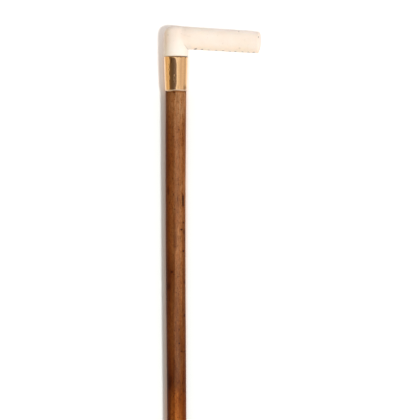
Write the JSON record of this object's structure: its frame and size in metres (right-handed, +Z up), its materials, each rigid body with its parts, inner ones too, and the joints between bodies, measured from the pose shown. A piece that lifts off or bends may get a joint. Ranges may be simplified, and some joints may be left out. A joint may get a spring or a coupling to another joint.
{
  "type": "walking stick",
  "caption": "Straight walking stick with an L-shaped bone handle notched underneath, a polished gold collar, a tapered brown cane shaft and a brass ferrule with a steel tip.",
  "frame": {"origin": "the middle of the tip's flat foot, on the ground", "axes": "+Z up the shaft, +X along the handle's arm, +Y to the back of the stick as pictured"},
  "size_m": [0.0974, 0.0242, 0.9],
  "materials": {
    "bone": "polished",
    "gold": "polished",
    "pitch": "matte",
    "cane": "gloss",
    "brass": "satin",
    "steel": "satin"
  },
  "bodies": {
    "root": {"handle": "bone", "handle_stud": "steel", "collar": "gold", "collar_bedding": "pitch", "shaft": "cane", "ferrule_sleeve": "brass", "ferrule_tip": "steel", "ferrule_pin_front": "brass", "ferrule_pin_back": "brass"}
  },
  "joints": []
}
